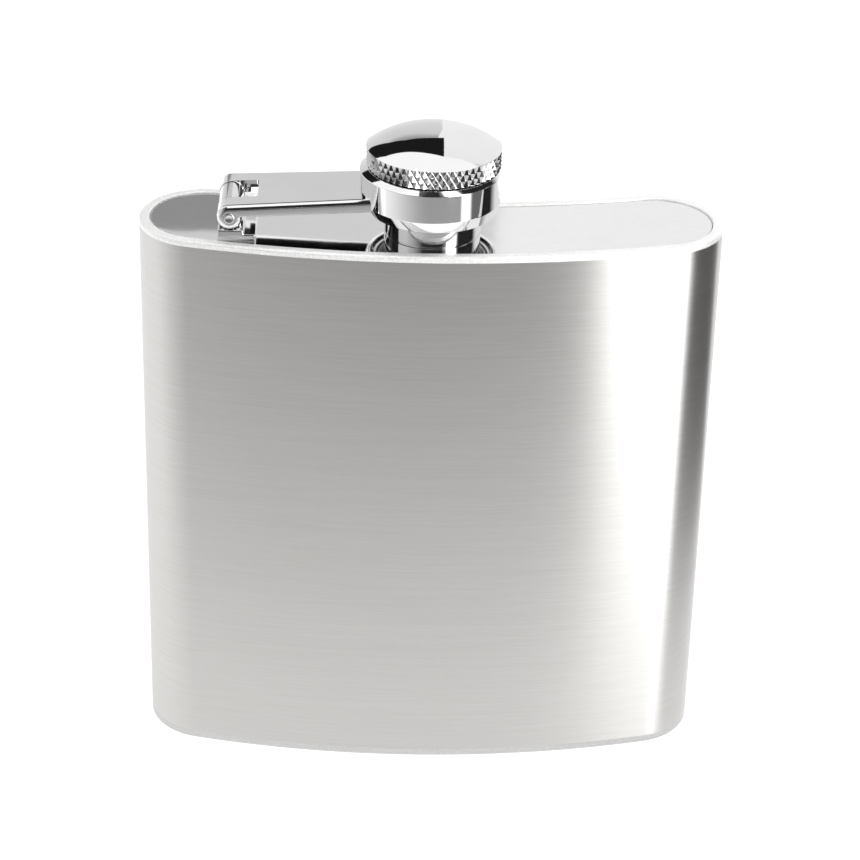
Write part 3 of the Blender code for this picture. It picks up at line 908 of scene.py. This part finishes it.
def crown_steel():
    """Mirror polish on the dome that turns satin where the knurl is rolled, with painted shade
    darkening the knurl band's colour.
    """
    m = Nodes("polished_crown_steel", grey(0.86), 0.04)
    haze = m.haze()
    _, _, z = m.axes()
    edge = (TOP + KNURL_TOP - 0.05) * MM
    below = m.soft(z, edge + 0.04 * MM, edge)
    # Painted shade: below the knurl's top edge the colour is darkened, standing in for the shade in
    # the knurl's grooves.
    tone = m.math("SUBTRACT", m.spread(haze, 0.94, 1.0), m.math("MULTIPLY", below, 0.55))
    m.tint(tone, grey(0.40), grey(0.87))
    m.rough(m.math("ADD", m.spread(haze, 0.028, 0.052), m.math("MULTIPLY", below, 0.13)))
    m.waviness()
    return m.material


def build_crown():
    """Domed crown with a diamond knurl, and the skirt that runs down inside the collar."""
    count = 2 * KNURL_DIAMONDS
    bm = bmesh.new()

    def ring(radii, z):
        """Ring of vertices at one radius, or at a list with a radius for each."""
        loop = []
        for i in range(count):
            a = FULL_TURN * i / count
            r = radii[i] if isinstance(radii, list) else radii
            loop.append(bm.verts.new((r * math.cos(a), AXIS_Y + r * math.sin(a), TOP + z)))
        return loop

    def band(upper, lower, row=None):
        """Faces between two rings: quads, or in a knurl row triangles split along its grooves."""
        for i in range(count):
            n = (i + 1) % count
            if row is None:
                bm.faces.new((upper[i], upper[n], lower[n], lower[i]))
            elif (i + row) % 2 == 0:
                bm.faces.new((upper[i], upper[n], lower[i]))
                bm.faces.new((upper[n], lower[n], lower[i]))
            else:
                bm.faces.new((upper[i], lower[n], lower[i]))
                bm.faces.new((upper[i], upper[n], lower[n]))

    lip = CROWN_RADIUS - 0.02
    shoulder = 0.04
    outer = dome(lip - 0.06, KNURL_TOP + shoulder, DOME_RISE - shoulder, 26)
    outer += [(lip, KNURL_TOP), (lip, KNURL_TOP - 0.03)]
    rings = [ring(r, z) for r, z in outer]
    for upper, lower in zip(rings, rings[1:]):
        band(upper, lower)
    close_to_pole(bm, rings[0], (0, AXIS_Y, TOP + KNURL_TOP + DOME_RISE))
    rows = [ring(radii, z) for radii, z in knurl_rows()]
    band(rings[-1], rows[0])
    for j, (upper, lower) in enumerate(zip(rows, rows[1:])):
        band(upper, lower, j)
    groove_top = RETAINER[1].z - TOP + 0.1
    groove_bottom = groove_top - 0.65
    skirt_low = CROWN[0].z - TOP
    ceiling = KNURL_TOP - CROWN_WALL
    below = rounded([
        (CROWN_RADIUS - 0.3, CROWN_BOTTOM, 0.05),
        (SKIRT_RADIUS, CROWN_BOTTOM, 0.1),
        (SKIRT_RADIUS, groove_top, 0.02),
        (GROOVE_RADIUS, groove_top, 0.02),
        (GROOVE_RADIUS, groove_bottom, 0.02),
        (SKIRT_RADIUS, groove_bottom, 0.02),
        (SKIRT_RADIUS, skirt_low, 0.1),
        (SKIRT_INNER, skirt_low, 0.1),
        (SKIRT_INNER, ceiling, 0.4),
        (SKIRT_INNER * 0.5, ceiling + DOME_RISE * 0.75, 0),
    ], 3, closed=False)
    last = rows[-1]
    for r, z in below:
        following = ring(r, z)
        band(last, following)
        last = following
    close_to_pole(bm, last, (0, AXIS_Y, TOP + ceiling + DOME_RISE))
    crown = new_object("cap_crown_dome", bm)
    crown.data.set_sharp_from_angle(angle=math.radians(20))
    add_piece(crown, "cap", ["cap_crown"], crown_steel())


def build_liner():
    """Threaded plastic cup pressed into the crown."""
    low = LINER[0].z - TOP
    high = LINER[1].z - TOP
    radius = (LINER[1].x - LINER[0].x) / 2
    root = 8.5
    roof = 11.5
    side = rounded([
        (0, roof, 0),
        (root, roof, 0.25),
        (root, low, 0.12),
        (radius, low, 0.12),
        (radius, high, 0.2),
        (0, high, 0),
    ], 4, closed=False)
    cup = turned("liner_cup", side, 112)
    ridge = helix_ridge(
        "liner_ridge", root + 0.04, low + 0.9, height=0.24, half_width=0.34, sign=-1
    )
    liner = joined("cap_liner_cup", [cup, ridge])
    finish_shading(liner)
    finish = moulded_plastic("liner_plastic", 0.82, 0.42, 0.01)
    add_piece(liner, "cap", ["cap_liner"], finish)


def build_seal():
    """Soft disc with a raised bead where it meets the neck."""
    low = SEAL[0].z - TOP
    high = SEAL[1].z - TOP
    radius = (SEAL[1].x - SEAL[0].x) / 2
    bead_mid = (NECK_BORE + NECK_CORE) / 2
    bead_half = 0.55
    bead = 0.18
    chamfer = 0.2
    steps = 8
    profile = [(0, low + bead)]
    for k in range(steps + 1):
        a = math.pi * (1 - k / steps)
        profile.append((bead_mid + bead_half * math.cos(a), low + bead - bead * math.sin(a)))
    profile += [
        (radius - chamfer, low + bead),
        (radius, low + bead + chamfer),
        (radius, high - chamfer),
        (radius - chamfer, high),
        (0, high),
    ]
    seal = turned("cap_seal_disc", profile, 96)
    finish_shading(seal)
    finish = moulded_plastic("seal_rubber", 0.78, 0.55, 0.03)
    add_piece(seal, "cap", ["cap_seal"], finish)


def build_retainer():
    """Split spring ring of round wire in the skirt's groove."""
    low, high = RETAINER
    z = (low.z + high.z) / 2
    wire = (high.z - low.z) / 2
    middle = (high.x - low.x) / 2 - wire
    gap = math.radians(9)
    steps, around = 120, 12
    bm = bmesh.new()
    loops = []
    for i in range(steps + 1):
        a = gap + (FULL_TURN - 2 * gap) * i / steps
        loop = []
        for k in range(around):
            b = FULL_TURN * k / around
            r = middle + wire * math.cos(b)
            loop.append((r * math.cos(a), AXIS_Y + r * math.sin(a), z + wire * math.sin(b)))
        loops.append(loop)
    solid_skin(bm, loops)
    ring = new_object("cap_retainer_ring", bm)
    finish_shading(ring, 50)
    finish = polished_steel("spring_steel", 0.55, 0.22, 0.01)
    add_piece(ring, "cap", ["cap_retainer"], finish)


# ---- studio --------------------------------------------------------------------

# Sizes are in metres here, levels are emission strengths, and a bearing counts in degrees
# from the camera's side (-Y) towards +X.
FLOOR_TONE = 0.25
FLOOR_GLOW = 1.0
BACKDROP_RADIUS = 5.0
CARD_TONE = 0.01
SHEET_TONE = 0.02
SHEET_LEVEL = 1.12
FILL_POWER = 16.0

# The seam between the grey left side and the bright right side lies a little to the right
# of straight behind, so the tent's bearings are counted from there.
SEAM = 3.0

# The tent's walls, as (degrees, level): all round, then the left side by bearing and by
# elevation, then the foot of the bright panel, which reaches nearer the camera, likewise.
TENT_AROUND = [
    (-180, 0.0), (-57, 0.0), (-27, 0.04), (24, 0.02), (34, 0.3), (40, 3.2), (46, 5.0),
    (56, 5.0), (62, 0.8), (66, 0.02), (114, 0.02), (122, 0.5), (130, 0.95), (180, 0.98),
]
LEFT_BEARING = [(-180, 1.0), (-62, 1.0), (-42, 0.6), (-20, 0.0), (180, 0.0)]
LEFT_ELEVATION = [
    (-90, 0.95), (-5, 0.92), (8, 0.82), (16, 0.75), (24, 0.71), (29, 0.67), (33, 0.46),
    (36, 0.36), (45, 0.16), (90, 0.14),
]
PANEL_BEARING = [(-180, 0.0), (26, 0.0), (29.5, 5.0), (46, 5.0), (52, 0.0)]
PANEL_ELEVATION = [(-90, 1.0), (12, 1.0), (18, 0.0)]


def sheet_of(name, corners):
    """Flat sheet with its corners in metres."""
    bm = bmesh.new()
    bm.faces.new([bm.verts.new(Vector(corner) / MM) for corner in corners])
    return new_object(name, bm, smooth=False)


def level_sheet(name, corners, height=0.0):
    """Level sheet from (x, y) corners and its height, all in metres."""
    return sheet_of(name, [(x, y, height) for x, y in corners])


def paper(name, tone, glow):
    """Matt paper of one grey tone, lit from inside to a level."""
    m = Nodes(name, grey(tone), 1.0, 0.0)
    m.shader.inputs["Specular IOR Level"].default_value = 0.0
    m.shader.inputs["Emission Color"].default_value = (*grey(1.0), 1.0)
    m.shader.inputs["Emission Strength"].default_value = glow
    return m


def build_floor():
    """Plain pale floor, and a plain pale backdrop that only the camera sees."""
    size = 6.0
    floor = level_sheet("floor", [(-size, -size), (size, -size), (size, size), (-size, size)])
    floor.data.materials.append(paper("floor_paper", FLOOR_TONE, FLOOR_GLOW).material)
    bm = bmesh.new()
    bmesh.ops.create_icosphere(bm, subdivisions=4, radius=BACKDROP_RADIUS / MM)
    backdrop = new_object("backdrop", bm)
    backdrop.data.materials.append(paper("backdrop_paper", CARD_TONE, 1.0).material)
    backdrop.visible_glossy = False
    backdrop.visible_diffuse = False
    backdrop.visible_transmission = False
    backdrop.visible_volume_scatter = False
    backdrop.visible_shadow = False


def build_floor_sheet():
    """Grey sheet just above the floor that the steel mirrors and the camera doesn't see.

    It is dark in front, with a black flag on the right and a bright patch between them
    that continues the tent's bright panel down to the floor.
    """
    front, right, far = -0.055, 0.1, 2.5
    outline = [
        (-far, front), (-far, -far), (far, -far), (far, 0.6), (right, 0.6), (right, front),
    ]
    sheet = level_sheet("floor_sheet", outline, 0.5 * MM)
    m = paper("sheet_paper", SHEET_TONE, 1.0)
    x, y, _ = m.axes()
    bearing = m.math("ARCTAN2", x, m.math("MULTIPLY", y, -1.0))
    squares = m.math("ADD", m.math("MULTIPLY", x, x), m.math("MULTIPLY", y, y))
    radius = m.math("SQRT", squares)

    def window(start, full, fade, end):
        """1 from full to fade, in degrees of bearing, and 0 before start and after end."""
        rise = m.soft(bearing, math.radians(start), math.radians(full))
        return m.math("MULTIPLY", rise, m.soft(bearing, math.radians(end), math.radians(fade)))

    front_shade = m.math("MULTIPLY", m.soft(radius, 0.10, 0.25), window(-100, 0, 46, 50))
    deeper = m.math("ADD", m.math("MULTIPLY", m.soft(radius, 0.24, 0.34), 0.24), 0.70)
    front_shade = m.math("MULTIPLY", front_shade, deeper)
    flag = m.math("MULTIPLY", window(62, 69, 118, 127), m.soft(x, right, right + 0.04))
    shade = m.math("MAXIMUM", front_shade, m.math("MULTIPLY", flag, 0.88))
    near_bright = m.math("MULTIPLY", window(46, 54, 62, 67), 0.35)
    lit = m.math("ADD", near_bright, SHEET_LEVEL)
    lit = m.math("MULTIPLY", lit, m.math("SUBTRACT", 1.0, shade))
    far_bright = m.math("MULTIPLY", window(25, 28.5, 52, 56), m.soft(radius, 0.25, 0.31))
    level = m.math("ADD", lit, m.math("MULTIPLY", far_bright, 7.0))
    glow = m.tree.nodes.new("ShaderNodeCombineColor")
    for socket in glow.inputs:
        m.link(level, socket)
    m.link(glow.outputs["Color"], m.shader.inputs["Emission Color"])
    sheet.data.materials.append(m.material)
    sheet.visible_camera = False


class World:
    """World shader painted by direction, as the light tent and flags round the flask."""

    def __init__(self):
        world = bpy.data.worlds.new("studio")
        bpy.context.scene.world = world
        world.use_nodes = True
        self.tree = world.node_tree
        self.background = self.tree.nodes["Background"]
        place = self.tree.nodes.new("ShaderNodeTexCoord").outputs["Generated"]
        split = self.tree.nodes.new("ShaderNodeSeparateXYZ")
        self.tree.links.new(place, split.inputs[0])
        self.x, self.y, self.z = split.outputs

    def math(self, operation, a, b=0.0):
        return math_node(self.tree, operation, a, b)

    def ramp(self, value, low, high, stops):
        """Grey level over a range of degrees, from (degrees, level) stops."""
        past = self.math("SUBTRACT", value, math.radians(low))
        node = self.tree.nodes.new("ShaderNodeValToRGB")
        self.tree.links.new(
            self.math("DIVIDE", past, math.radians(high - low)), node.inputs["Fac"]
        )
        elements = node.color_ramp.elements
        while len(elements) > 1:
            elements.remove(elements[-1])
        top = max(level for _, level in stops)
        for k, (degrees, level) in enumerate(stops):
            position = (degrees - low) / (high - low)
            element = elements[0] if k == 0 else elements.new(position)
            element.position = position
            element.color = (level / top, level / top, level / top, 1)
        return self.math("MULTIPLY", node.outputs["Color"], top)


def build_world():
    """Light tent: pale on the left and behind, a strong panel right of the camera, black flags."""
    w = World()
    along, across = math.cos(math.radians(SEAM)), math.sin(math.radians(SEAM))
    x = w.math("ADD", w.math("MULTIPLY", w.x, along), w.math("MULTIPLY", w.y, -across))
    y = w.math("ADD", w.math("MULTIPLY", w.x, across), w.math("MULTIPLY", w.y, along))
    squares = w.math("ADD", w.math("MULTIPLY", x, x), w.math("MULTIPLY", y, y))
    elevation = w.math("ARCTAN2", w.z, w.math("SQRT", squares))
    bearing = w.math("ARCTAN2", x, w.math("MULTIPLY", y, -1.0))

    def wall(bearing_stops, elevation_stops):
        """Level by bearing times level by elevation."""
        return w.math(
            "MULTIPLY",
            w.ramp(bearing, -180, 180, bearing_stops),
            w.ramp(elevation, -90, 90, elevation_stops),
        )

    around = w.ramp(bearing, -180, 180, TENT_AROUND)
    level = w.math("ADD", around, wall(PANEL_BEARING, PANEL_ELEVATION))
    level = w.math("ADD", level, wall(LEFT_BEARING, LEFT_ELEVATION))
    w.tree.links.new(level, w.background.inputs["Color"])
    w.background.inputs["Strength"].default_value = 1.0


def stage_card(card, level):
    """Finish a card: a soft light if level is above 0, else black; the camera doesn't see it."""
    card.data.materials.append(paper(card.name, CARD_TONE, level).material)
    card.visible_camera = False


def build_cards():
    """Overhead light, the black flag hung behind it, and two small cards on the hinge's side.

    The strip stands behind and gives the plate its grey end, and the edge light hangs low
    over the hinge and draws the white line along the arm.
    """
    height = 1.4
    shared = [(0.17, 0.50), (-0.35, 0.76), (-0.9, 0.97), (-2.4, 2.3)]
    near = [(-2.4, -0.03), (1.4, -0.03), (1.4, 0.50)]
    far = [(-1.6, 3.0), (-0.8, 1.85), (-0.4, 1.6), (0.17, 1.8)]
    stage_card(level_sheet("overhead_light", near + shared, height), 1.08)
    stage_card(level_sheet("overhead_flag", shared + far, height), 0.0)
    left, right, back, low, high = -0.053, -0.037, 0.060, 0.1155, 0.125
    strip = [(left, back, low), (right, back, low), (right, back, high), (left, back, high)]
    stage_card(sheet_of("back_strip", strip), 0.30)
    hinge_side = [(-0.050, -0.048), (-0.014, -0.048), (-0.014, -0.006), (-0.050, -0.006)]
    stage_card(level_sheet("edge_light", hinge_side, 0.163), 1.25)


def build_fill():
    """Soft fill from above that reaches only the matt finishes, as a tent's bounce does."""
    data = bpy.data.lights.new("fill", "AREA")
    data.size = 2.0
    data.energy = FILL_POWER
    fill = bpy.data.objects.new("fill", data)
    fill.location = (-0.2, -0.3, 1.3)
    fill.visible_glossy = False
    fill.visible_camera = False
    bpy.context.scene.collection.objects.link(fill)


# ---- camera --------------------------------------------------------------------

# Place in millimetres; the camera looks along +Y, turned and tipped down by these angles.
CAMERA_PLACE = (-11.47, -417.65, 286.27)
CAMERA_LENS = 118.47
CAMERA_YAW = math.radians(1.65)
CAMERA_PITCH = math.radians(28.68)
CAMERA_ROLL = math.radians(1.53)


def build_camera():
    """Camera above the flask and in front of it, as in a catalogue picture."""
    data = bpy.data.cameras.new("camera")
    data.lens = CAMERA_LENS
    data.sensor_width = 36.0
    data.clip_start = 0.01
    data.clip_end = 50.0
    camera = bpy.data.objects.new("camera", data)
    bpy.context.scene.collection.objects.link(camera)
    level = math.cos(CAMERA_PITCH)
    sine, cosine = math.sin(CAMERA_YAW), math.cos(CAMERA_YAW)
    ahead = Vector((sine * level, cosine * level, -math.sin(CAMERA_PITCH)))
    right = Vector((cosine, -sine, 0))
    up = right.cross(ahead)
    right_rolled = right * math.cos(CAMERA_ROLL) + up * math.sin(CAMERA_ROLL)
    up_rolled = up * math.cos(CAMERA_ROLL) - right * math.sin(CAMERA_ROLL)
    turn = Matrix((right_rolled, up_rolled, -ahead)).transposed()
    camera.matrix_world = Matrix.Translation(Vector(CAMERA_PLACE) * MM) @ turn.to_4x4()
    bpy.context.scene.camera = camera


build_wall()
build_top_rim()
build_foot_rim()
build_plates()
build_neck()
build_post()
build_pin()
build_arm()
build_collar()
build_crown()
build_liner()
build_seal()
build_retainer()
build_floor()
build_floor_sheet()
build_world()
build_cards()
build_fill()
build_camera()

bpy.context.scene.view_settings.view_transform = "Standard"
bpy.context.view_layer.update()
